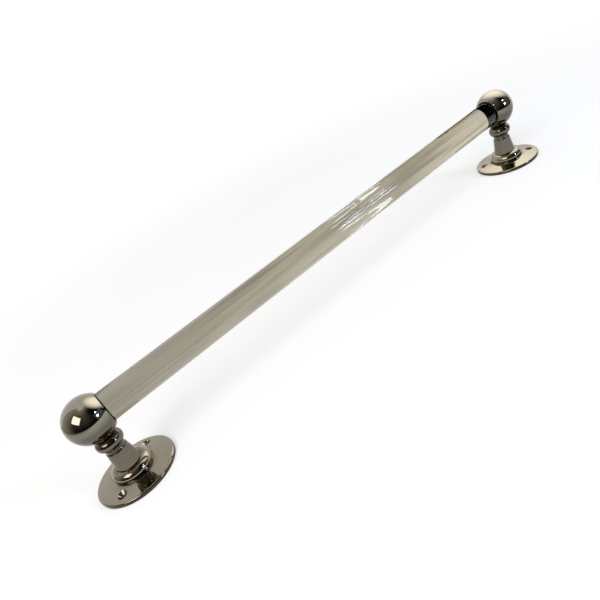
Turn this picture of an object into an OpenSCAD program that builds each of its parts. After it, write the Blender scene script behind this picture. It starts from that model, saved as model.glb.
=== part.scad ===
// Grab rail: a solid clear rod held loose in the blind sockets of two ball-ended posts.
// Each post is a ball, a beaded collar and a tapered pillar, drawn down on a domed round flange by a stud and nut.
// Frame: origin on the wall plane midway between the posts, +X along the rail, +Z out of the wall.

/* [Rail] */
// Distance between the two posts' axes
post_spacing = 500; // [300:5:900]
// Diameter of the clear rod
rod_d = 25.4; // [22:0.1:28]
// Chamfer on the rod's ends
rod_chamfer = 0.8; // [0.3:0.1:2]

/* [Ball] */
// Diameter of the ball
ball_d = 39; // [38:0.5:48]
// Diameter of the flat under the ball that the collar seats on
ball_seat_d = 13; // [12:0.5:15]
// How far the socket's floor lies past the ball's centre
socket_floor = 7; // [4:0.5:9]
// Width of the flat land round the socket's mouth
mouth_land = 0.35; // [0.2:0.05:0.8]

/* [Socket lining] */
// Wall thickness of the sleeve round the rod's end
liner_t = 0.95; // [0.5:0.05:1.1]
// Clearance between rod and sleeve
rod_gap = 0.3; // [0.2:0.05:0.4]
// How far the sleeve lies behind the socket's mouth
liner_recess = 0.6; // [0.2:0.1:2]
// Thickness of the cushion at the socket's floor
pad_t = 2; // [1:0.25:3]
// Clearance between rod end and cushion
end_gap = 0.3; // [0.2:0.05:0.6]
// Clearance of the sleeve and the cushion in the socket
lining_gap = 0.05; // [0.03:0.01:0.1]

/* [Collar] */
// Largest diameter of the half-round bead
bead_d = 22.8; // [20.6:0.2:24]
// Radius of the bead's round
bead_round = 5.5; // [5:0.1:6]
// Height of the neck below the bead
neck_h = 3; // [2.6:0.1:6]
// Diameter of the neck above and below its cove
neck_d = 16.4; // [14:0.2:19]
// Depth of the cove in the neck
cove_depth = 0.4; // [0.2:0.05:0.8]
// Radius of the cove
cove_round = 2.2; // [1.4:0.1:3]

/* [Pillar] */
// Height of the pillar above the flange
pillar_h = 16; // [12:0.5:60]
// How far the pillar's top stands out from the neck, taken without its rounding
shoulder = 0.5; // [0.3:0.05:1]
// Diameter of the pillar's foot
pillar_foot_d = 22; // [20.4:0.2:24]
// Radius of the pillar's rounded top edge
pillar_round = 0.6; // [0.3:0.05:0.9]
// Diameter of the spigot the flange turns on
spigot_d = 12; // [10:0.5:14]
// Clearance between spigot and flange
spigot_gap = 0.08; // [0.05:0.01:0.1]
// How far the spigot stops short of the web's underside
spigot_short = 0.3; // [0.2:0.1:1]

/* [Flange] */
// Diameter of the flange
flange_d = 68; // [62:0.5:90]
// Radius of the dome's round
dome_round = 6.2; // [5:0.1:6.6]
// Width of the dome's flat top outside the pillar
dome_flat = 0.2; // [0.1:0.1:0.5]
// Width of the fine step round the dome
step_w = 0.7; // [0.4:0.1:1.5]
// Height of the fine step above the sloping face beside it
step_h = 0.6; // [0.3:0.1:0.9]
// Slope of the flange's upper face in degrees
face_slope = 9; // [5:0.5:10]
// Radius of the rounded rim
rim_round = 1.5; // [0.8:0.1:2]
// Height of the rim's straight side
rim_h = 2; // [1.2:0.1:2.4]
// Chamfer round the wall side of the rim
base_chamfer = 0.3; // [0.1:0.1:0.6]
// Thickness of the web the pillar and washer clamp
web_t = 4.2; // [2.5:0.1:4.4]
// Clearance round the washer in the recess below the flange
recess_gap = 1; // [0.5:0.1:1.5]

/* [Screw holes] */
// Distance of the screw holes from the rim
hole_inset = 8; // [7:0.25:10]
// Diameter of the screw holes
hole_d = 4.5; // [3.5:0.1:5]
// Diameter of the countersink on the face
sink_d = 8.2; // [7.4:0.1:9]
// Angle of the countersink in degrees
sink_angle = 90; // [80:1:90]
// Turn of the left flange's hole line from the rail in degrees
left_turn = 48; // [-90:1:90]
// Turn of the right flange's hole line from the rail in degrees
right_turn = -40; // [-90:1:90]

/* [Fastening] */
// Diameter of the stud
stud_d = 6; // [5:0.5:7]
// Clearance of the stud in ball and nut, which stands for the thread
thread_gap = 0.05; // [0.03:0.01:0.08]
// Clearance of the stud in collar, pillar and washers
stud_gap = 0.2; // [0.1:0.05:0.4]
// How far the stud stops short of the socket
stud_short = 0.4; // [0.3:0.1:1]
// Length of stud showing below the nut
stud_tail = 0.4; // [0.2:0.1:1]
// Clearance between the stud's end and the wall
wall_gap = 1.1; // [0.5:0.1:3]
// Diameter of the wide washer
washer_d = 18; // [16:0.5:19]
// Thickness of the wide washer
washer_t = 1.6; // [1:0.1:1.8]
// Diameter of the disc spring washer
spring_d = 12.4; // [11:0.2:14]
// Thickness of the disc spring washer
spring_t = 0.8; // [0.6:0.1:1]
// Rise of the disc spring washer's cone
spring_rise = 0.5; // [0.3:0.1:0.7]
// Width across the nut's flats
nut_af = 10; // [9:0.5:12]
// Height of the nut
nut_h = 5; // [4:0.1:5.2]
// Radius of the arc that rounds off the nut's corners
nut_corner = 0.35; // [0.2:0.05:0.6]

/* [Hidden] */
$fn = 96;
over = 1;
hex = 6;
ball_r = ball_d / 2;
liner_inner_r = rod_d / 2 + rod_gap;
liner_outer_r = liner_inner_r + liner_t;
bore_r = liner_outer_r + lining_gap;
mouth_x = sqrt(pow(ball_r, 2) - pow(bore_r + mouth_land, 2));
rod_reach = socket_floor - pad_t - end_gap;
rod_l = post_spacing + 2 * rod_reach;
spring_h = spring_t + spring_rise;
dome_top = wall_gap + stud_tail + nut_h + spring_h + washer_t + web_t;
pillar_top = dome_top + pillar_h;
pillar_top_r = neck_d / 2 + shoulder;
collar_top = pillar_top + neck_h + 2 * bead_round;
seat_drop = sqrt(pow(ball_r, 2) - pow(ball_seat_d / 2, 2));
rail_height = collar_top + seat_drop;
bead_centre_r = bead_d / 2 - bead_round;
bead_z = collar_top - bead_round;
stud_r = stud_d / 2;
thread_r = stud_r + thread_gap;
clear_r = stud_r + stud_gap;
web_z = dome_top - web_t;
nut_top = web_z - washer_t - spring_h;
nut_bottom = nut_top - nut_h;
dome_centre_r = pillar_foot_d / 2 + dome_flat;
dome_r = dome_centre_r + dome_round;
step_r = dome_r + step_w;
recess_r = washer_d / 2 + recess_gap;
hole_reach = flange_d / 2 - hole_inset;
rim_centre_r = flange_d / 2 - rim_round;
face_r = rim_centre_r + rim_round * sin(face_slope);
face_z = rim_h + rim_round * cos(face_slope);
step_z = face_z + (face_r - step_r) * tan(face_slope) + step_h;
hole_face_z = face_z + (face_r - hole_reach) * tan(face_slope);
sink_flare = tan(sink_angle / 2);
sink_depth = (sink_d - hole_d) / 2 / sink_flare;
sink_h = sink_depth + over;

// Moves a piece drawn about the Z axis to the left or right post
module at_post(side) {
    translate([side * post_spacing / 2, 0, 0])
        children();
}

// Lays a piece drawn about the Z axis along the rail, its drawn top towards the rail's middle
module in_socket(side) {
    translate([side * post_spacing / 2, 0, rail_height])
        rotate([0, -side * 90, 0])
            children();
}

// Clear rod with chamfered ends
module rail_rod() {
    color([0.86, 0.90, 0.88, 0.35])
        translate([-rod_l / 2, 0, rail_height])
            rotate([0, 90, 0])
                rotate_extrude()
                    polygon([
                        [0, 0],
                        [rod_d / 2 - rod_chamfer, 0],
                        [rod_d / 2, rod_chamfer],
                        [rod_d / 2, rod_l - rod_chamfer],
                        [rod_d / 2 - rod_chamfer, rod_l],
                        [0, rod_l]
                    ]);
}

// Ball with its blind socket, flat seat and tapped hole
module ball(side) {
    color([0.74, 0.71, 0.65])
        difference() {
            translate([side * post_spacing / 2, 0, rail_height])
                sphere(r = ball_r);
            in_socket(side)
                translate([0, 0, -socket_floor])
                    cylinder(r = bore_r, h = socket_floor + ball_d);
            in_socket(side)
                translate([0, 0, mouth_x])
                    cylinder(r = ball_d, h = ball_d);
            at_post(side)
                translate([0, 0, collar_top - ball_d])
                    cylinder(r = ball_d, h = ball_d);
            at_post(side)
                translate([0, 0, collar_top - over])
                    cylinder(r = thread_r, h = rail_height - collar_top);
        }
}

// Dark sleeve in the socket
module liner(side) {
    color([0.07, 0.05, 0.04])
        in_socket(side)
            translate([0, 0, pad_t - socket_floor])
                difference() {
                    cylinder(r = liner_outer_r, h = mouth_x - liner_recess + socket_floor - pad_t);
                    translate([0, 0, -over])
                        cylinder(r = liner_inner_r, h = ball_d);
                }
}

// Cushion disc at the socket's floor
module pad(side) {
    color([0.10, 0.08, 0.07])
        in_socket(side)
            translate([0, 0, -socket_floor])
                cylinder(r = bore_r - lining_gap, h = pad_t);
}

// Turned ring with a half-round bead above a cove
module collar(side) {
    color([0.74, 0.71, 0.65])
        at_post(side)
            rotate_extrude()
                difference() {
                    union() {
                        translate([bead_centre_r, bead_z])
                            circle(r = bead_round);
                        translate([0, pillar_top])
                            square([bead_centre_r, collar_top - pillar_top]);
                        translate([0, pillar_top])
                            square([neck_d / 2, bead_z - pillar_top]);
                    }
                    translate([neck_d / 2 - cove_depth + cove_round, pillar_top + neck_h / 2])
                        circle(r = cove_round);
                    translate([-ball_d, 0])
                        square([ball_d + clear_r, rail_height]);
                }
}

// Tapered pillar with a rounded top edge and a spigot below
module pillar(side) {
    taper = atan((pillar_foot_d / 2 - pillar_top_r) / pillar_h);
    round_z = pillar_top - pillar_round;
    round_r = pillar_foot_d / 2 - (round_z - dome_top) * tan(taper) - pillar_round / cos(taper);
    color([0.74, 0.71, 0.65])
        at_post(side)
            rotate_extrude()
                difference() {
                    union() {
                        translate([round_r, round_z])
                            circle(r = pillar_round);
                        polygon([
                            [0, dome_top],
                            [pillar_foot_d / 2, dome_top],
                            [round_r + pillar_round * cos(taper), round_z + pillar_round * sin(taper)],
                            [round_r, pillar_top],
                            [0, pillar_top]
                        ]);
                        translate([0, web_z + spigot_short])
                            square([spigot_d / 2, web_t]);
                    }
                    translate([-ball_d, 0])
                        square([ball_d + clear_r, rail_height]);
                }
}

// One countersunk screw hole on the line through the flange's axis
module screw_hole(reach) {
    translate([reach, 0, -over])
        cylinder(d = hole_d, h = dome_top);
    translate([reach, 0, hole_face_z - sink_depth])
        cylinder(r1 = hole_d / 2, r2 = hole_d / 2 + sink_h * sink_flare, h = sink_h);
}

// Domed flange with a recess below and two countersunk holes
module flange(side, turn) {
    color([0.74, 0.71, 0.65])
        at_post(side)
            rotate([0, 0, turn])
                difference() {
                    rotate_extrude()
                        difference() {
                            union() {
                                translate([dome_centre_r, dome_top - dome_round])
                                    circle(r = dome_round);
                                square([dome_centre_r, dome_top]);
                                square([dome_r, dome_top - dome_round]);
                                square([step_r, step_z]);
                                translate([rim_centre_r, rim_h])
                                    circle(r = rim_round);
                                polygon([
                                    [0, 0],
                                    [flange_d / 2 - base_chamfer, 0],
                                    [flange_d / 2, base_chamfer],
                                    [flange_d / 2, rim_h],
                                    [rim_centre_r, rim_h],
                                    [face_r, face_z],
                                    [step_r, step_z - step_h],
                                    [0, step_z - step_h]
                                ]);
                            }
                            translate([-ball_d, 0])
                                square([ball_d + spigot_d / 2 + spigot_gap, dome_top + over]);
                            translate([0, -over])
                                square([recess_r, web_z + over]);
                        }
                    screw_hole(hole_reach);
                    screw_hole(-hole_reach);
                }
}

// Stud from the ball's tapped hole down through the nut
module stud(side) {
    color([0.72, 0.58, 0.30])
        at_post(side)
            translate([0, 0, nut_bottom - stud_tail])
                cylinder(r = stud_r, h = rail_height - bore_r - stud_short - nut_bottom + stud_tail);
}

// Wide plain washer against the flange's web
module washer(side) {
    color([0.62, 0.62, 0.60])
        at_post(side)
            translate([0, 0, web_z - washer_t])
                difference() {
                    cylinder(d = washer_d, h = washer_t);
                    translate([0, 0, -over])
                        cylinder(r = clear_r, h = dome_top);
                }
}

// Disc spring washer, its wide edge against the plain washer
module spring(side) {
    color([0.45, 0.45, 0.44])
        at_post(side)
            rotate_extrude()
                polygon([
                    [clear_r, nut_top],
                    [spring_d / 2, nut_top + spring_rise],
                    [spring_d / 2, nut_top + spring_h],
                    [clear_r, nut_top + spring_t]
                ]);
}

// Hexagon nut with its corners turned off
module nut(side) {
    color([0.72, 0.58, 0.30])
        at_post(side)
            translate([0, 0, nut_bottom])
                difference() {
                    intersection() {
                        cylinder(r = nut_af / 2 / cos(180 / hex), h = nut_h, $fn = hex);
                        cylinder(r = nut_af / 2 / cos(180 / hex) - nut_corner, h = nut_h);
                    }
                    translate([0, 0, -over])
                        cylinder(r = thread_r, h = dome_top);
                }
}

rail_rod();
ball(-1);  // left_ball
liner(-1);  // left_liner
pad(-1);  // left_pad
collar(-1);  // left_collar
pillar(-1);  // left_pillar
flange(-1, left_turn);  // left_flange
stud(-1);  // left_stud
washer(-1);  // left_washer
spring(-1);  // left_spring
nut(-1);  // left_nut
ball(1);  // right_ball
liner(1);  // right_liner
pad(1);  // right_pad
collar(1);  // right_collar
pillar(1);  // right_pillar
flange(1, right_turn);  // right_flange
stud(1);  // right_stud
washer(1);  // right_washer
spring(1);  // right_spring
nut(1);  // right_nut
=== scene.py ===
"""Grab rail: a solid clear rod held in the sockets of two turned, nickel-plated posts on round flanges."""

import logging
import math
from dataclasses import dataclass, field
from enum import Enum
from typing import Any

import bmesh
import bpy
from mathutils import Matrix, Quaternion, Vector


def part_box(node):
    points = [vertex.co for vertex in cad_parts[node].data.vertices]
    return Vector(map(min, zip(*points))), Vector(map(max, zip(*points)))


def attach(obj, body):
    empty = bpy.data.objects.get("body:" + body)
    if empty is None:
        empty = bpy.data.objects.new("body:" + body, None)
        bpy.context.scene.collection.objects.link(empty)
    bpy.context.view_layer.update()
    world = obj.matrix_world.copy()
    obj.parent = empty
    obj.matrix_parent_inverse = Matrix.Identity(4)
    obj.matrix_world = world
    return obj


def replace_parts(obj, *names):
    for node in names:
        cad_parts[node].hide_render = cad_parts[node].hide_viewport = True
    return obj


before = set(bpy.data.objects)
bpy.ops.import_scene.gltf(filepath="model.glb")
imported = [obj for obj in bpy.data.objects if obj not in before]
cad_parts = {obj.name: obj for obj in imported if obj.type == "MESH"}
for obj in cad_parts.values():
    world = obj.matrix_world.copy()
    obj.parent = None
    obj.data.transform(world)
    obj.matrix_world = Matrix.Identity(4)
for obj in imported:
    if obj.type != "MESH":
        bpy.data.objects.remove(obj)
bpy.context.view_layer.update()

LOG = logging.getLogger("grab_rail")
MM = 0.001
CORNER_DEG = 28.0  # An edge sharper than this stays a corner on a smooth piece
WELD = 1e-7  # Points closer than this, in metres, become one
SAW_SNAP = 1e-8  # Points this near a saw cut, in metres, lie on it
BAND_TURN = 2 * math.pi / 20  # A band texture of scale one repeats at this length
WHITE = "#FFFFFF"


def linear(code: str) -> tuple[float, float, float, float]:
    """Turns an sRGB hex colour into Blender's linear colour.

    Args:
        code: six hex digits after a number sign.

    Returns:
        Linear red, green and blue, and an alpha of one.
    """
    parts = [int(code[i:i + 2], 16) / 255 for i in (1, 3, 5)]
    red, green, blue = (p / 12.92 if p <= 0.04045 else ((p + 0.055) / 1.055) ** 2.4 for p in parts)
    return red, green, blue, 1.0


def add(tree: bpy.types.NodeTree, kind: str, settings: dict[str, Any] | None = None,
        values: dict[str | int, Any] | None = None,
        links: dict[str | int, bpy.types.NodeSocket] | None = None) -> bpy.types.Node:
    """Adds one node with its settings, its fixed inputs and its links.

    Args:
        tree: the node tree it goes into.
        kind: the node's type name.
        settings: attributes of the node itself.
        values: input sockets and the numbers or colours they hold.
        links: input sockets and the output sockets that feed them.

    Returns:
        The new node.
    """
    node = tree.nodes.new(kind)
    for name, value in (settings or {}).items():
        setattr(node, name, value)
    for name, value in (values or {}).items():
        node.inputs[name].default_value = value
    for name, source in (links or {}).items():
        tree.links.new(source, node.inputs[name])
    return node


def blank(name: str) -> tuple[bpy.types.Material, bpy.types.NodeTree]:
    """Makes a material with an empty node tree.

    Args:
        name: the finish's name.

    Returns:
        The material and its node tree.
    """
    material = bpy.data.materials.new(name)
    material.use_nodes = True
    material.node_tree.nodes.clear()
    return material, material.node_tree


def close(tree: bpy.types.NodeTree, shader: bpy.types.Node) -> None:
    """Feeds a shader to the surface output."""
    add(tree, "ShaderNodeOutputMaterial", links={"Surface": shader.outputs[0]})


def grain(size_mm: float) -> float:
    """Gives the scale at which a texture's features are that many millimetres wide."""
    return 1 / (size_mm * MM)


def link(mesh: bmesh.types.BMesh, name: str) -> bpy.types.Object:
    """Turns a bmesh into an object at the origin, smooth but for its corners.

    Args:
        mesh: the finished shape, which is freed.
        name: the object's name.

    Returns:
        The new object in the scene.
    """
    data = bpy.data.meshes.new(name)
    mesh.to_mesh(data)
    mesh.free()
    data.shade_smooth()
    data.set_sharp_from_angle(angle=math.radians(CORNER_DEG))
    made = bpy.data.objects.new(name, data)
    bpy.context.scene.collection.objects.link(made)
    return made


def turned(profile: list[tuple[float, float]], centre: Vector, axis: Vector, steps: int) -> bmesh.types.BMesh:
    """Turns a profile about an axis as a lathe does.

    Args:
        profile: radius and height pairs in metres, from one end to the other.
        centre: the point on the axis at height nought.
        axis: unit vector along the axis.
        steps: how many facets go round.

    Returns:
        A closed bmesh whose faces point outwards.
    """
    mesh = bmesh.new()
    side = axis.orthogonal().normalized()
    points = [mesh.verts.new(centre + side * radius + axis * height) for radius, height in profile]
    edges = [mesh.edges.new(pair) for pair in zip(points, points[1:])]
    bmesh.ops.spin(mesh, geom=points + edges, cent=centre, axis=axis, angle=2 * math.pi, steps=steps, use_merge=True)
    bmesh.ops.remove_doubles(mesh, verts=mesh.verts, dist=WELD)
    bmesh.ops.recalc_face_normals(mesh, faces=mesh.faces)
    return mesh


def cut(mesh: bmesh.types.BMesh, point: Vector, away: Vector) -> None:
    """Saws off what lies past a plane and closes the cut.

    Args:
        mesh: the shape to cut.
        point: a point on the plane.
        away: unit vector towards the side that is taken off.
    """
    geometry = mesh.verts[:] + mesh.edges[:] + mesh.faces[:]
    made = bmesh.ops.bisect_plane(mesh, geom=geometry, dist=SAW_SNAP, plane_co=point, plane_no=away,
                                  clear_outer=True)
    rim = [item for item in made["geom_cut"] if isinstance(item, bmesh.types.BMEdge)]
    bmesh.ops.edgeloop_fill(mesh, edges=rim)


class Side(Enum):
    """The two posts, by the end of the rail they hold."""

    LEFT = "left"
    RIGHT = "right"

    def node(self, piece: str) -> str:
        """Gives the name of this post's node for a piece."""
        return f"{self.value}_{piece}"


@dataclass(frozen=True)
class PolishedNickel:
    """Nickel plate on turned brass, mopped to a mirror.

    Warm grey with crisp, slightly wavy reflections, faint rings from the lathe, painted shade that darkens the side
    of the rim, the pillar, the collar and the underside of the ball, and a brown bloom in the joints and at the
    foot. The rings are drawn coarser than the real ones, which are too fine to show.
    """

    tone_and_painted_shade_mm: tuple[tuple[float, str], ...] = (
        (0.0, "#938C7D"), (0.1, "#938C7D"),  # back of the flange
        # Painted shade: the side of the rim is painted dark, standing in for shade mirrored in it.
        (0.4, "#4C473F"), (2.3, "#4C473F"),  # side of the rim
        (3.0, "#938C7D"), (13.0, "#938C7D"),  # face and bead of the flange
        # Painted shade: darker from the pillar and collar to the underside of the ball, back to the plate's tone on
        # top of the ball.
        (15.0, "#736D62"), (45.0, "#6F695F"),  # pillar and collar
        (58.0, "#6A655B"), (67.0, "#9A958A"))  # underside and top of the ball
    cloudy: str = "#EAE8E3"
    bloom: str = "#4E4638"
    cloud_mm: float = 11.0
    bloom_patch: tuple[float, float] = (0.3, 0.7)
    haze_patch: tuple[float, float] = (0.45, 0.75)
    wave_mm: float = 8.0
    wave_height_mm: float = 0.012
    ring_mm: float = 0.9
    ring_height_mm: float = 0.0012
    clean_rough: float = 0.03
    hazy_rough: float = 0.09
    bloom_rough: float = 0.3
    post_x_mm: float = 250.0
    joints_mm: tuple[float, ...] = (6.0, 13.6, 29.6, 32.4, 43.6)
    joint_reach_mm: float = 0.9
    foot_mm: float = 1.6
    back_mm: tuple[float, float] = (0.1, 0.4)
    back_bloom: float = 0.3
    top_mm: float = 82.0

    def around(self, tree: bpy.types.NodeTree, place: bpy.types.NodeSocket) -> bpy.types.NodeSocket:
        """Turns a place into its distance from the nearer post's axis and its height.

        Args:
            tree: the node tree to add it to.
            place: the place on the piece.

        Returns:
            A vector of the distance and the height in metres.
        """
        part = add(tree, "ShaderNodeSeparateXYZ", links={0: place}).outputs
        side = add(tree, "ShaderNodeMath", settings={"operation": "ABSOLUTE"}, links={0: part["X"]}).outputs[0]
        across = add(tree, "ShaderNodeMath", settings={"operation": "SUBTRACT"}, values={1: self.post_x_mm * MM},
                     links={0: side}).outputs[0]
        flat = add(tree, "ShaderNodeCombineXYZ", links={"X": across, "Y": part["Y"]}).outputs[0]
        reach = add(tree, "ShaderNodeVectorMath", settings={"operation": "LENGTH"}, links={0: flat}).outputs["Value"]
        return add(tree, "ShaderNodeCombineXYZ", links={"X": reach, "Y": part["Z"]}).outputs[0]

    def by_height(self, tree: bpy.types.NodeTree, place: bpy.types.NodeSocket,
                  marks: list[tuple[float, tuple[float, ...]]]) -> bpy.types.NodeSocket:
        """Blends colours by their height above the wall.

        Args:
            tree: the node tree to add it to.
            place: the place on the piece.
            marks: heights in millimetres, from nought up, and the colour at each.

        Returns:
            A colour socket.
        """
        height = add(tree, "ShaderNodeSeparateXYZ", links={0: place}).outputs["Z"]
        share = add(tree, "ShaderNodeMapRange", values={"From Max": self.top_mm * MM}, links={"Value": height})
        ramp = add(tree, "ShaderNodeValToRGB", links={"Fac": share.outputs[0]})
        stops = ramp.color_ramp.elements
        stops[0].color = marks[0][1]
        stops[1].color = marks[-1][1]
        for level, colour in marks[1:]:
            stops.new(level / self.top_mm).color = colour
        return ramp.outputs[0]

    def tone_and_painted_shade(self, tree: bpy.types.NodeTree, place: bpy.types.NodeSocket) -> bpy.types.NodeSocket:
        """Gives the colour of the plate at each height, with painted shade on the side of the rim, the pillar, the
        collar and under the ball.
        """
        return self.by_height(tree, place, [(level, linear(colour)) for level, colour in self.tone_and_painted_shade_mm])

    def joints(self, tree: bpy.types.NodeTree, place: bpy.types.NodeSocket) -> bpy.types.NodeSocket:
        """Marks the joints between the turned pieces, the foot on the wall and, faintly, the back, by their heights.

        Args:
            tree: the node tree to add it to.
            place: the place on the piece.

        Returns:
            A socket that is one in a joint or at the foot, a small share on the back, and nought elsewhere.
        """
        clean, dirty = (0, 0, 0, 1), (1, 1, 1, 1)
        faint = (self.back_bloom, self.back_bloom, self.back_bloom, 1)
        marks = [(0.0, faint), (self.back_mm[0], faint), (self.back_mm[1], dirty), (self.foot_mm, clean)]
        for joint in self.joints_mm:
            marks += [(joint - self.joint_reach_mm, clean), (joint, dirty), (joint + self.joint_reach_mm, clean)]
        return self.by_height(tree, place, marks)

    def material(self) -> bpy.types.Material:
        """Builds the finish.

        Returns:
            The material.
        """
        made, tree = blank("polished_nickel")
        place = add(tree, "ShaderNodeTexCoord").outputs["Object"]
        cloud = add(tree, "ShaderNodeTexNoise", values={"Scale": grain(self.cloud_mm), "Detail": 3.0},
                    links={"Vector": place}).outputs["Fac"]
        tone = add(tree, "ShaderNodeMix", settings={"data_type": "RGBA", "blend_type": "MULTIPLY"},
                   values={7: linear(self.cloudy)}, links={0: cloud, 6: self.tone_and_painted_shade(tree, place)}).outputs[2]
        patch = add(tree, "ShaderNodeMapRange",
                    values={"From Min": self.bloom_patch[0], "From Max": self.bloom_patch[1]},
                    links={"Value": cloud}).outputs[0]
        dirt = add(tree, "ShaderNodeMath", settings={"operation": "MULTIPLY"},
                   links={0: self.joints(tree, place), 1: patch}).outputs[0]
        shown = add(tree, "ShaderNodeMix", settings={"data_type": "RGBA"}, values={7: linear(self.bloom)},
                    links={0: dirt, 6: tone}).outputs[2]
        haze = add(tree, "ShaderNodeMapRange",
                   values={"From Min": self.haze_patch[0], "From Max": self.haze_patch[1],
                           "To Min": self.clean_rough, "To Max": self.hazy_rough},
                   links={"Value": cloud}).outputs[0]
        rough = add(tree, "ShaderNodeMix", values={3: self.bloom_rough}, links={0: dirt, 2: haze}).outputs[0]
        wave = add(tree, "ShaderNodeTexNoise", values={"Scale": grain(self.wave_mm), "Detail": 0.0},
                   links={"Vector": place}).outputs["Fac"]
        ring = add(tree, "ShaderNodeTexNoise", values={"Scale": grain(self.ring_mm), "Detail": 1.0},
                   links={"Vector": self.around(tree, place)}).outputs["Fac"]
        dents = add(tree, "ShaderNodeBump", values={"Strength": 1.0, "Distance": self.wave_height_mm * MM},
                    links={"Height": wave}).outputs[0]
        bump = add(tree, "ShaderNodeBump", values={"Strength": 1.0, "Distance": self.ring_height_mm * MM},
                   links={"Height": ring, "Normal": dents}).outputs[0]
        close(tree, add(tree, "ShaderNodeBsdfPrincipled", values={"Metallic": 1.0},
                        links={"Base Color": shown, "Roughness": rough, "Normal": bump}))
        return made


@dataclass(frozen=True)
class ClearRod:
    """Drawn and polished clear acrylic.

    Bends what lies behind it, with a warm, smoke-coloured tint, deeper to the left, which is painted shade standing
    in for a shaded surface seen through it, and shows faint lengthwise marks, painted to stand in for a grain seen
    through it, which are drawn coarse so that they show. Bends what lies behind it, with a warm smoky cast that is
    deeper to the left, and shows faint lengthwise draw lines, which are drawn coarser than real ones so that they
    show.
    """

    painted_shade_left: str = "#989383"
    light: str = "#CFC7B1"
    grain_seen_tone: str = "#7F7868"
    half_span_m: float = 0.25
    line_mm: float = 3.2
    line_run_mm: float = 120.0
    line_patch: tuple[float, float] = (0.48, 0.72)
    line_depth: float = 0.9
    ior: float = 1.49

    def material(self) -> bpy.types.Material:
        """Builds the finish.

        Returns:
            The material.
        """
        made, tree = blank("clear_acrylic")
        place = add(tree, "ShaderNodeTexCoord").outputs["Object"]
        along = add(tree, "ShaderNodeSeparateXYZ", links={0: place}).outputs["X"]
        # Painted shade: the tint darkens from the right end of the rod towards the left.
        share = add(tree, "ShaderNodeMapRange",
                    values={"From Min": -self.half_span_m, "From Max": self.half_span_m},
                    links={"Value": along}).outputs[0]
        painted_shade_cast = add(tree, "ShaderNodeMix", settings={"data_type": "RGBA"},
                   values={6: linear(self.painted_shade_left), 7: linear(self.light)}, links={0: share}).outputs[2]
        stretch = add(tree, "ShaderNodeMapping",
                      values={"Scale": (grain(self.line_run_mm), grain(self.line_mm), grain(self.line_mm))},
                      links={"Vector": place}).outputs[0]
        # Painted marks that stand in for a grain seen through the rod.
        grain_seen_through = add(tree, "ShaderNodeTexNoise", values={"Scale": 1.0, "Detail": 1.0},
                    links={"Vector": stretch}).outputs["Fac"]
        faint = add(tree, "ShaderNodeMapRange",
                    values={"From Min": self.line_patch[0], "From Max": self.line_patch[1],
                            "To Max": self.line_depth},
                    links={"Value": grain_seen_through}).outputs[0]
        tint = add(tree, "ShaderNodeMix", settings={"data_type": "RGBA"},
                   values={7: linear(self.grain_seen_tone)}, links={0: faint, 6: painted_shade_cast}).outputs[2]
        close(tree, add(tree, "ShaderNodeBsdfPrincipled",
                        values={"Roughness": 0.0, "IOR": self.ior, "Transmission Weight": 1.0},
                        links={"Base Color": tint}))
        return made


@dataclass(frozen=True)
class Matt:
    """A matt dark finish with a fine grain, for the sleeve and the end cushion."""

    name: str
    dark: str
    light: str
    grain_mm: float
    depth_mm: float
    rough: float
    relief: float = 0.8
    specular: float = 0.05

    def material(self) -> bpy.types.Material:
        """Builds the finish.

        Returns:
            The material.
        """
        made, tree = blank(self.name)
        place = add(tree, "ShaderNodeTexCoord").outputs["Object"]
        speck = add(tree, "ShaderNodeTexNoise", values={"Scale": grain(self.grain_mm), "Detail": 4.0},
                    links={"Vector": place}).outputs["Fac"]
        tone = add(tree, "ShaderNodeMix", settings={"data_type": "RGBA"},
                   values={6: linear(self.dark), 7: linear(self.light)}, links={0: speck}).outputs[2]
        bump = add(tree, "ShaderNodeBump", values={"Strength": self.relief, "Distance": self.depth_mm * MM},
                   links={"Height": speck}).outputs[0]
        close(tree, add(tree, "ShaderNodeBsdfPrincipled",
                        values={"Roughness": self.rough, "Specular IOR Level": self.specular},
                        links={"Base Color": tone, "Normal": bump}))
        return made


@dataclass(frozen=True)
class PlainMetal:
    """Turned or pressed metal left as it came off the tool: fine rings and a soft sheen."""

    name: str
    bright: str
    dull: str
    ring_mm: float
    depth_mm: float
    rough: float
    fleck_rings: float = 3.0
    wander: float = 1.5
    relief: float = 0.5

    def material(self) -> bpy.types.Material:
        """Builds the finish.

        Returns:
            The material.
        """
        made, tree = blank(self.name)
        place = add(tree, "ShaderNodeTexCoord").outputs["Object"]
        fleck = add(tree, "ShaderNodeTexNoise",
                    values={"Scale": grain(self.fleck_rings * self.ring_mm), "Detail": 5.0},
                    links={"Vector": place}).outputs["Fac"]
        tone = add(tree, "ShaderNodeMix", settings={"data_type": "RGBA"},
                   values={6: linear(self.bright), 7: linear(self.dull)}, links={0: fleck}).outputs[2]
        rings = add(tree, "ShaderNodeTexWave", settings={"bands_direction": "Z"},
                    values={"Scale": grain(self.ring_mm) * BAND_TURN, "Distortion": self.wander},
                    links={"Vector": place}).outputs["Fac"]
        bump = add(tree, "ShaderNodeBump", values={"Strength": self.relief, "Distance": self.depth_mm * MM},
                   links={"Height": rings}).outputs[0]
        close(tree, add(tree, "ShaderNodeBsdfPrincipled", values={"Metallic": 1.0, "Roughness": self.rough},
                        links={"Base Color": tone, "Normal": bump}))
        return made


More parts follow.
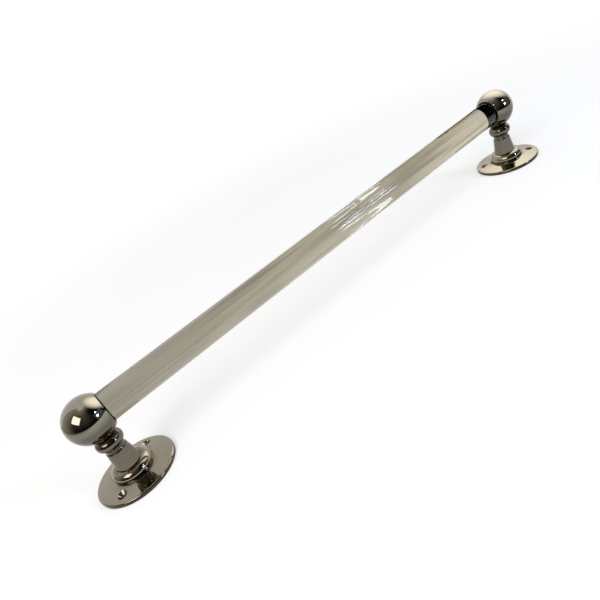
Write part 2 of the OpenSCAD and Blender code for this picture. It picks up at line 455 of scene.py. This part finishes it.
@dataclass
class Finishes:
    """Every finish on the rail, built once and shared by the pieces."""

    nickel: bpy.types.Material = field(default_factory=lambda: PolishedNickel().material())
    clear: bpy.types.Material = field(default_factory=lambda: ClearRod().material())
    # Dyed hide, skived thin: nearly black brown, fine pores and no shine.
    sleeve: bpy.types.Material = field(
        default_factory=lambda: Matt("dark_hide", "#140C06", "#2A1A0D", 0.7, 0.05, 0.9).material())
    # Moulded black rubber: a dull, even dark grey.
    rubber: bpy.types.Material = field(
        default_factory=lambda: Matt("moulded_rubber", "#171412", "#24201C", 0.5, 0.03, 0.9).material())
    # Brass as turned, with no plate: yellow, with fine rings and a soft sheen.
    brass: bpy.types.Material = field(
        default_factory=lambda: PlainMetal("turned_brass", "#C29A55", "#A67F40", 0.35, 0.02, 0.3).material())
    # Steel as pressed from plain sheet: a cool grey with a dull sheen.
    steel: bpy.types.Material = field(
        default_factory=lambda: PlainMetal("pressed_steel", "#9C9B97", "#84837F", 0.5, 0.01, 0.38).material())


@dataclass
class Rail:
    """The clear rod that the hand holds."""

    finishes: Finishes
    chamfer: float = 0.8 * MM
    steps: int = 256

    def build(self) -> bpy.types.Object:
        """Turns the rod where its node lies, with polished, chamfered ends.

        Returns:
            The rod, riding on the rail body in place of its node.
        """
        low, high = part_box("rail_rod")
        radius = (high.z - low.z) / 2
        length = high.x - low.x
        start = Vector((low.x, 0, (low.z + high.z) / 2))
        profile = [(0, 0), (radius - self.chamfer, 0), (radius, self.chamfer),
                   (radius, length - self.chamfer), (radius - self.chamfer, length), (0, length)]
        rod = link(turned(profile, start, Vector((1, 0, 0)), self.steps), "clear_rail")
        rod.data.materials.append(self.finishes.clear)
        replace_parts(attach(rod, "rail"), "rail_rod")
        return rod


@dataclass
class Post:
    """One turned post: ball, collar, pillar and flange, with what is hidden inside them."""

    side: Side
    finishes: Finishes
    pitch: float = 1.0 * MM
    thread_depth: float = 0.55 * MM
    thread_steps: int = 48
    thread_weld: float = 1e-6
    flank: float = 0.375
    crest_flat: float = 0.125
    run_in: int = 2
    run_out: int = 1
    bore_gap: float = 0.05 * MM
    bore_flare: float = 0.4 * MM
    nut_bevel_deg: float = 30.0
    nut_face_inset: float = 0.3 * MM
    nut_steps: int = 96
    nut_flats: int = 6

    def place(self, made: bpy.types.Object, piece: str) -> bpy.types.Object:
        """Puts a new brass piece in the place of its node."""
        made.data.materials.append(self.finishes.brass)
        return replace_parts(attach(made, "posts"), self.side.node(piece))

    def stud(self) -> bpy.types.Object:
        """Cuts the stud's thread from end to end, and saws off the turns that run past its ends.

        Returns:
            The threaded stud.
        """
        low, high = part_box(self.side.node("stud"))
        crest = (high.x - low.x) / 2
        root = crest - self.thread_depth
        foot = Vector(((low.x + high.x) / 2, 0, low.z - self.run_in * self.pitch))
        turns = math.ceil((high.z - low.z) / self.pitch) + self.run_in + self.run_out
        fall = self.flank + self.crest_flat
        tooth = ((root, 0.0), (crest, self.flank), (crest, fall), (root, fall + self.flank))
        mesh = bmesh.new()
        points = [mesh.verts.new(foot + Vector((radius, 0, (turn + rise) * self.pitch)))
                  for turn in range(turns) for radius, rise in tooth]
        edges = [mesh.edges.new(pair) for pair in zip(points, points[1:])]
        bmesh.ops.spin(mesh, geom=points + edges, cent=foot, axis=(0, 0, 1), angle=2 * math.pi,
                       dvec=(0, 0, self.pitch / self.thread_steps), steps=self.thread_steps)
        bmesh.ops.remove_doubles(mesh, verts=mesh.verts, dist=self.thread_weld)
        cut(mesh, low, Vector((0, 0, -1)))
        cut(mesh, high, Vector((0, 0, 1)))
        bmesh.ops.recalc_face_normals(mesh, faces=mesh.faces)
        return self.place(link(mesh, self.side.node("threaded_stud")), "stud")

    def nut(self) -> bpy.types.Object:
        """Turns the nut with bevelled faces and saws its six flats.

        Returns:
            The nut.
        """
        low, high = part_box(self.side.node("nut"))
        stud_low, stud_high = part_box(self.side.node("stud"))
        centre = Vector(((low.x + high.x) / 2, 0, low.z))
        height = high.z - low.z
        flat = (high.y - low.y) / 2
        corner = (high.x - low.x) / 2
        bore = (stud_high.x - stud_low.x) / 2 + self.bore_gap
        face = flat - self.nut_face_inset
        slant = (corner - face) * math.tan(math.radians(self.nut_bevel_deg))
        profile = [(bore + self.bore_flare, 0), (face, 0), (corner, slant), (corner, height - slant), (face, height),
                   (bore + self.bore_flare, height), (bore, height - self.bore_flare), (bore, self.bore_flare),
                   (bore + self.bore_flare, 0)]
        mesh = turned(profile, centre, Vector((0, 0, 1)), self.nut_steps)
        for number in range(self.nut_flats):
            turn = math.radians(360 / self.nut_flats * (number + 0.5))
            away = Vector((math.cos(turn), math.sin(turn), 0))
            cut(mesh, centre + away * flat, away)
        bmesh.ops.recalc_face_normals(mesh, faces=mesh.faces)
        return self.place(link(mesh, self.side.node("hexagon_nut")), "nut")

    def dress(self) -> list[str]:
        """Gives each of the post's nodes its finish.

        Returns:
            The names of the nodes.
        """
        use = self.finishes
        worn = {"ball": use.nickel, "collar": use.nickel, "pillar": use.nickel, "flange": use.nickel,
                "liner": use.sleeve, "pad": use.rubber, "washer": use.steel, "spring": use.steel}
        for piece, material in worn.items():
            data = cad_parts[self.side.node(piece)].data
            data.materials.clear()
            data.materials.append(material)
        return [self.side.node(piece) for piece in worn]


@dataclass(frozen=True)
class SoftBox:
    """A lamp of one or more rectangular panes side by side, facing a point."""

    name: str
    place: tuple[float, float, float]
    target: tuple[float, float, float]
    pane: tuple[float, float]
    radiance: float
    colour: str
    panes: int = 1
    bar: float = 0.02
    roll_deg: float = 0.0
    flagged: bool = False

    def hang(self) -> list[bpy.types.Object]:
        """Adds the lamp's panes.

        Returns:
            Their objects.
        """
        facing = (Vector(self.target) - Vector(self.place)).to_track_quat("-Z", "Y")
        turn = facing @ Quaternion((0, 0, 1), math.radians(self.roll_deg))
        made = []
        for number in range(self.panes):
            data = bpy.data.lights.new(f"{self.name}_{number}", "AREA")
            data.shape = "RECTANGLE"
            data.size, data.size_y = self.pane
            data.energy = self.radiance * math.pi * self.pane[0] * self.pane[1]
            data.color = linear(self.colour)[:3]
            lamp = bpy.data.objects.new(data.name, data)
            step = (number - (self.panes - 1) / 2) * (self.pane[0] + self.bar)
            lamp.location = Vector(self.place) + turn @ Vector((step, 0, 0))
            lamp.rotation_euler = turn.to_euler()
            lamp.visible_camera = False
            bpy.context.scene.collection.objects.link(lamp)
            made.append(lamp)
        return made


@dataclass(frozen=True)
class Camera:
    """The camera at the photograph's viewing angle, in millimetres and pixels of a square frame."""

    place: tuple[float, float, float] = (-212.534, -387.212, 242.519)
    right: tuple[float, float, float] = (0.714511, -0.574887, -0.398722)
    down: tuple[float, float, float] = (-0.599374, -0.20903, -0.772694)
    forward: tuple[float, float, float] = (0.360867, 0.791082, -0.493927)
    focal_px: float = 516.22
    middle_px: tuple[float, float] = (329.11, 309.68)
    frame_px: float = 600.0
    sensor_mm: float = 36.0
    reach_m: tuple[float, float] = (0.01, 100.0)

    def mount(self) -> bpy.types.Object:
        """Adds the camera and makes it the scene's own.

        Returns:
            The camera's object.
        """
        data = bpy.data.cameras.new("view")
        data.sensor_width = self.sensor_mm
        data.lens = self.focal_px / self.frame_px * data.sensor_width
        data.shift_x = 0.5 - self.middle_px[0] / self.frame_px
        data.shift_y = self.middle_px[1] / self.frame_px - 0.5
        data.clip_start, data.clip_end = self.reach_m
        made = bpy.data.objects.new("view", data)
        turn = Matrix((self.right, -Vector(self.down), -Vector(self.forward))).transposed()
        made.matrix_world = Matrix.Translation(Vector(self.place) * MM) @ turn.to_4x4()
        bpy.context.scene.collection.objects.link(made)
        bpy.context.scene.camera = made
        return made


@dataclass
class Studio:
    """A plain pale floor, soft lamps, and a dark booth behind the camera for the polish to mirror."""

    pale: str = "#F2F2F2"
    floor_half: float = 8.0
    floor_drop: float = 0.1 * MM
    lift: float = 0.47
    ambient: float = 0.42
    white_from: float = 0.36
    white_to: float = 0.85
    booth_profile: tuple[tuple[float, float], ...] = ((0.42, 0.002), (2.5, 0.002), (2.5, 3.6), (1.0, 5.4))
    booth_tones: tuple[str, ...] = ("#191512", "#5A5145", "#787167", "#C6C2B8")
    booth_stops: tuple[float, ...] = (0.28, 0.66)
    booth_shade: str = "#15171B"
    booth_lip: str = "#EDEDED"
    booth_edge: float = 0.95
    booth_steps: int = 48
    pale_y: tuple[float, float] = (-0.9, 1.6)
    shade_x: tuple[float, float] = (-0.8, 1.4)
    shade_z: tuple[float, float] = (5.4, 3.4)
    booth_from_deg: float = 100.0
    booth_to_deg: float = 310.0
    card_place: tuple[float, float, float] = (0.76, 0.28, 0.80)
    card_target: tuple[float, float, float] = (0.1, 0.0, 0.06)
    card_half: float = 1.1
    card_radiance: float = 3.0
    card_edge_radiance: float = 0.7
    card_full: float = 0.9
    card_solid: float = 0.35
    card_colour: str = "#FFFCF4"

    def seen(self, tree: bpy.types.NodeTree) -> bpy.types.NodeSocket:
        """Marks the rays that show the background: straight from the camera, mirrored, or through the rod.

        Args:
            tree: the node tree to add it to.

        Returns:
            A socket that is one on those rays.
        """
        path = add(tree, "ShaderNodeLightPath").outputs
        both = add(tree, "ShaderNodeMath", settings={"operation": "MAXIMUM"},
                   links={0: path["Is Camera Ray"], 1: path["Is Glossy Ray"]}).outputs[0]
        return add(tree, "ShaderNodeMath", settings={"operation": "MAXIMUM"},
                   links={0: both, 1: path["Is Transmission Ray"]}).outputs[0]

    def surround(self) -> None:
        """Sets the world: white where it shows, softer where it lights."""
        world = bpy.data.worlds.new("studio")
        bpy.context.scene.world = world
        world.use_nodes = True
        tree = world.node_tree
        tree.nodes.clear()
        soft = add(tree, "ShaderNodeBackground", values={"Color": linear(self.pale), "Strength": self.ambient})
        white = add(tree, "ShaderNodeBackground", values={"Color": linear(WHITE), "Strength": 1.0})
        mixed = add(tree, "ShaderNodeMixShader",
                    links={0: self.seen(tree), 1: soft.outputs[0], 2: white.outputs[0]})
        add(tree, "ShaderNodeOutputWorld", links={"Surface": mixed.outputs[0]})

    def floor(self) -> bpy.types.Object:
        """Lays the pale floor, which shows white and keeps the shadow.

        Returns:
            The floor.
        """
        mesh = bmesh.new()
        bmesh.ops.create_grid(mesh, x_segments=1, y_segments=1, size=self.floor_half)
        bmesh.ops.translate(mesh, vec=(0, 0, -self.floor_drop), verts=mesh.verts)
        made = link(mesh, "floor")
        material, tree = blank("pale_floor")
        matt = add(tree, "ShaderNodeBsdfDiffuse", values={"Color": linear(self.pale)})
        shown = self.seen(tree)
        lift = add(tree, "ShaderNodeMath", settings={"operation": "MULTIPLY"}, values={1: self.lift},
                   links={0: shown}).outputs[0]
        glow = add(tree, "ShaderNodeEmission", values={"Color": linear(WHITE)}, links={"Strength": lift})
        near = add(tree, "ShaderNodeAddShader", links={0: matt.outputs[0], 1: glow.outputs[0]})
        away = add(tree, "ShaderNodeVectorMath", settings={"operation": "LENGTH"},
                   links={0: add(tree, "ShaderNodeTexCoord").outputs["Object"]}).outputs["Value"]
        sweep = add(tree, "ShaderNodeMapRange", settings={"interpolation_type": "SMOOTHSTEP"},
                    values={"From Min": self.white_from, "From Max": self.white_to},
                    links={"Value": away}).outputs[0]
        share = add(tree, "ShaderNodeMath", settings={"operation": "MULTIPLY"},
                    links={0: sweep, 1: shown}).outputs[0]
        white = add(tree, "ShaderNodeEmission", values={"Color": linear(WHITE), "Strength": 1.0})
        close(tree, add(tree, "ShaderNodeMixShader", links={0: share, 1: near.outputs[0], 2: white.outputs[0]}))
        made.data.materials.append(material)
        return made

    def booth(self) -> bpy.types.Object:
        """Stands the dark booth round the camera's back, from floor to ceiling, out of its view.

        Returns:
            The booth.
        """
        mesh = bmesh.new()
        start = math.radians(self.booth_from_deg)
        out = Vector((math.sin(start), math.cos(start), 0))
        up = Vector((0, 0, 1))
        points = [mesh.verts.new(out * reach + up * height) for reach, height in self.booth_profile]
        edges = [mesh.edges.new(pair) for pair in zip(points, points[1:])]
        bmesh.ops.spin(mesh, geom=points + edges, cent=(0, 0, 0), axis=-up, steps=self.booth_steps,
                       angle=math.radians(self.booth_to_deg - self.booth_from_deg))
        made = link(mesh, "dark_booth")
        material, tree = blank("dark_cloth")
        place = add(tree, "ShaderNodeSeparateXYZ",
                    links={0: add(tree, "ShaderNodeTexCoord").outputs["Object"]}).outputs
        rise = add(tree, "ShaderNodeMapRange", values={"From Max": self.booth_profile[-1][1]},
                   links={"Value": place["Z"]}).outputs[0]
        tone = add(tree, "ShaderNodeValToRGB", links={"Fac": rise})
        stops = tone.color_ramp.elements
        stops[0].color = linear(self.booth_tones[0])
        stops[1].color = linear(self.booth_tones[-1])
        for level, colour in zip(self.booth_stops, self.booth_tones[1:-1]):
            stops.new(level).color = linear(colour)
        side = add(tree, "ShaderNodeMapRange", settings={"interpolation_type": "SMOOTHSTEP"},
                   values={"From Min": self.pale_y[0], "From Max": self.pale_y[1]},
                   links={"Value": place["Y"]}).outputs[0]
        right = add(tree, "ShaderNodeMapRange", settings={"interpolation_type": "SMOOTHSTEP"},
                    values={"From Min": self.shade_x[0], "From Max": self.shade_x[1]},
                    links={"Value": place["X"]}).outputs[0]
        low = add(tree, "ShaderNodeMapRange", settings={"interpolation_type": "SMOOTHSTEP"},
                  values={"From Min": self.shade_z[0], "From Max": self.shade_z[1]},
                  links={"Value": place["Z"]}).outputs[0]
        shade = add(tree, "ShaderNodeMath", settings={"operation": "MULTIPLY"}, links={0: right, 1: low}).outputs[0]
        dusk = add(tree, "ShaderNodeMix", settings={"data_type": "RGBA"}, values={7: linear(self.booth_shade)},
                   links={0: shade, 6: tone.outputs[0]}).outputs[2]
        fade = add(tree, "ShaderNodeMix", settings={"data_type": "RGBA"}, values={7: linear(self.booth_tones[-1])},
                   links={0: side, 6: dusk}).outputs[2]
        out = add(tree, "ShaderNodeVectorMath", settings={"operation": "LENGTH"},
                  links={0: add(tree, "ShaderNodeTexCoord").outputs["Object"]}).outputs["Value"]
        near = add(tree, "ShaderNodeMapRange", settings={"interpolation_type": "SMOOTHSTEP"},
                   values={"From Min": self.booth_edge, "From Max": self.booth_profile[0][0]},
                   links={"Value": out}).outputs[0]
        edge = add(tree, "ShaderNodeMix", settings={"data_type": "RGBA"}, values={7: linear(self.booth_lip)},
                   links={0: near, 6: fade}).outputs[2]
        close(tree, add(tree, "ShaderNodeEmission", links={"Color": edge}))
        made.data.materials.append(material)
        made.visible_camera = False
        made.visible_diffuse = False
        made.visible_transmission = False
        made.visible_shadow = False
        return made

    def flag(self, rod: bpy.types.Object) -> bpy.types.Collection:
        """Makes the flag that keeps a light off the rod.

        Args:
            rod: the clear rod.

        Returns:
            A collection that a light takes as its receivers.
        """
        made = bpy.data.collections.new("flagged_off")
        made.objects.link(rod)
        made.collection_objects[0].light_linking.link_state = "EXCLUDE"
        return made

    def card(self, flag: bpy.types.Collection) -> bpy.types.Object:
        """Hangs the broad soft box over the far end for the polish to mirror, fading to its edges.

        Args:
            flag: what keeps it off the rod.

        Returns:
            The soft box.
        """
        mesh = bmesh.new()
        bmesh.ops.create_grid(mesh, x_segments=1, y_segments=1, size=self.card_half)
        made = link(mesh, "broad_box")
        towards = Vector(self.card_target) - Vector(self.card_place)
        made.location = self.card_place
        made.rotation_euler = towards.to_track_quat("Z", "Y").to_euler()
        material, tree = blank("soft_box_cloth")
        place = add(tree, "ShaderNodeMapping", values={"Scale": (1 / self.card_half,) * 3},
                    links={"Vector": add(tree, "ShaderNodeTexCoord").outputs["Object"]}).outputs[0]
        middle = add(tree, "ShaderNodeTexGradient", settings={"gradient_type": "SPHERICAL"},
                     links={"Vector": place}).outputs["Fac"]
        power = add(tree, "ShaderNodeMapRange", settings={"interpolation_type": "SMOOTHSTEP"},
                    values={"From Max": self.card_full, "To Min": self.card_edge_radiance,
                            "To Max": self.card_radiance},
                    links={"Value": middle}).outputs[0]
        glow = add(tree, "ShaderNodeEmission", values={"Color": linear(self.card_colour)}, links={"Strength": power})
        clear = add(tree, "ShaderNodeBsdfTransparent")
        solid = add(tree, "ShaderNodeMapRange", values={"From Max": self.card_solid},
                    links={"Value": middle}).outputs[0]
        close(tree, add(tree, "ShaderNodeMixShader", links={0: solid, 1: clear.outputs[0], 2: glow.outputs[0]}))
        made.data.materials.append(material)
        made.visible_camera = False
        made.visible_diffuse = False
        made.visible_transmission = False
        made.visible_shadow = False
        made.light_linking.receiver_collection = flag
        return made

    def lamps(self) -> list[SoftBox]:
        """Lists the lamps: a warm box at the left, and three narrow cool ones and a weak cool wash at the right.

        Returns:
            The lamps, not yet hung.
        """
        middle = (0.04, 0.0, 0.06)
        cool = "#D3E3FF"
        return [
            SoftBox("warm_box", (-1.55, -0.82, 1.45), (-0.25, 0.0, 0.06), (1.25, 1.05), 3.6, "#FFFCF7",
                    roll_deg=-18.0),
            SoftBox("cool_strip_high", (0.82, -1.04, 0.82), middle, (0.1, 0.06), 50.0, cool, panes=2),
            SoftBox("cool_strip_mid", (0.88, -1.36, 0.49), middle, (0.13, 0.035), 60.0, cool, panes=2),
            SoftBox("cool_strip_low", (0.88, -1.36, 0.335), middle, (0.13, 0.035), 60.0, cool, panes=2),
            SoftBox("cool_wash", (1.3, -1.3, 0.5), middle, (1.6, 0.95), 0.3, "#B3C4DF", flagged=True),
        ]

    def light(self, rod: bpy.types.Object) -> None:
        """Builds the whole studio.

        Args:
            rod: the clear rod, which the broad soft box and the cool wash are flagged off.
        """
        bpy.context.scene.view_settings.view_transform = "Standard"
        self.surround()
        self.floor()
        self.booth()
        flag = self.flag(rod)
        self.card(flag)
        for box in self.lamps():
            for pane in box.hang():
                if box.flagged:
                    pane.light_linking.receiver_collection = flag


def main() -> None:
    """Builds the rail, its two posts and the studio, and reports each piece."""
    logging.basicConfig(level=logging.INFO, format="%(name)s: %(message)s")
    Camera().mount()
    finishes = Finishes()
    rod = Rail(finishes).build()
    LOG.info("built %s", rod.name)
    for side in Side:
        post = Post(side, finishes)
        for made in (post.stud(), post.nut()):
            LOG.info("built %s", made.name)
        for name in post.dress():
            LOG.info("dressed %s", name)
    Studio().light(rod)


if __name__ == "__main__":
    main()
